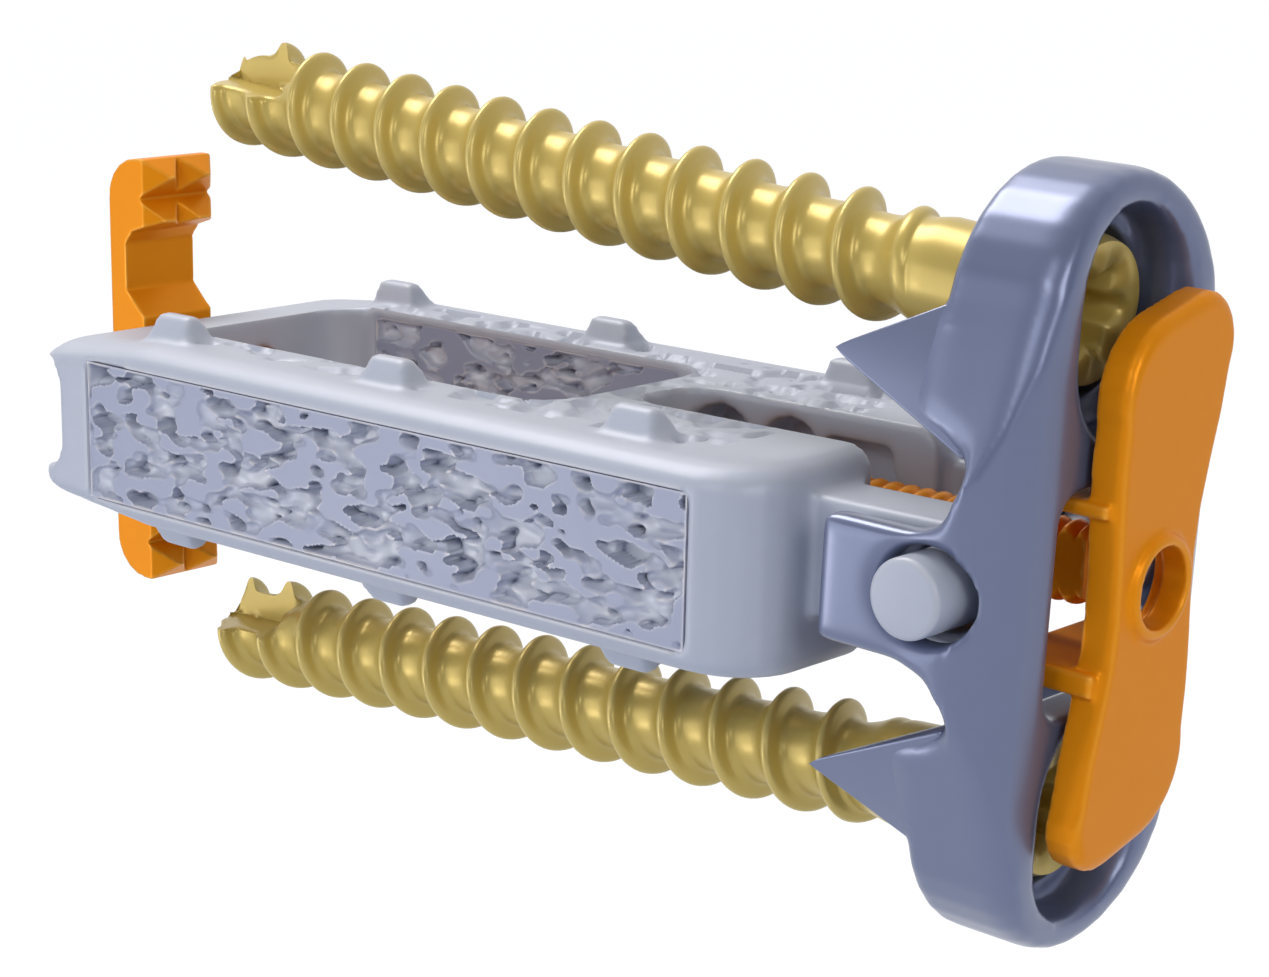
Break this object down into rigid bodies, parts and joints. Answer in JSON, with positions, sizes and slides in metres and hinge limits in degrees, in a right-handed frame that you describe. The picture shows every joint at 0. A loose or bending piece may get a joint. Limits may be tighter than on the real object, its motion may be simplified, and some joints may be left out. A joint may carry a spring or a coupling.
{
  "type": "spinal interbody cage",
  "caption": "Lateral lumbar interbody cage with porous sides and bone teeth, a hinged plate with bone screws and a cover, and a turning end anchor on a draw shaft.",
  "frame": {"origin": "middle of the divider's flat top, on the cage's upper bone face", "axes": "+X from the nose towards the plate, +Z out of the upper bone face, -Y the near side of the picture"},
  "size_m": [0.0638, 0.0216, 0.0344],
  "materials": {
    "cage_titanium": "satin, printed titanium",
    "plate_blue": "satin, blue-grey anodised titanium",
    "screw_gold": "satin, gold anodised titanium",
    "anodised_orange": "satin, orange anodised titanium"
  },
  "bodies": {
    "cage_body": {"cage": "cage_titanium", "near_pin": "cage_titanium", "far_pin": "cage_titanium"},
    "plate_body": {"plate": "plate_blue", "upper_screw": "screw_gold", "lower_screw": "screw_gold", "cover": "anodised_orange"},
    "shaft_body": {"anchor_shaft": "anodised_orange"},
    "blade_body": {"anchor_blade": "anodised_orange"}
  },
  "joints": [
    {"name": "plate_hinge", "type": "hinge", "parent": "cage_body", "child": "plate_body", "pos_m": [0.02185, 0, -0.004], "axis": [0, 1, 0], "range_deg": [-3.9, 1.1]},
    {"name": "shaft_draw", "type": "slide", "parent": "cage_body", "child": "shaft_body", "axis": [1, 0, 0], "range_m": [0, 0.0012]},
    {"name": "blade_turn", "type": "hinge", "parent": "shaft_body", "child": "blade_body", "pos_m": [-0.0335, 0, -0.0038], "axis": [1, 0, 0], "range_deg": [0, 90]}
  ]
}
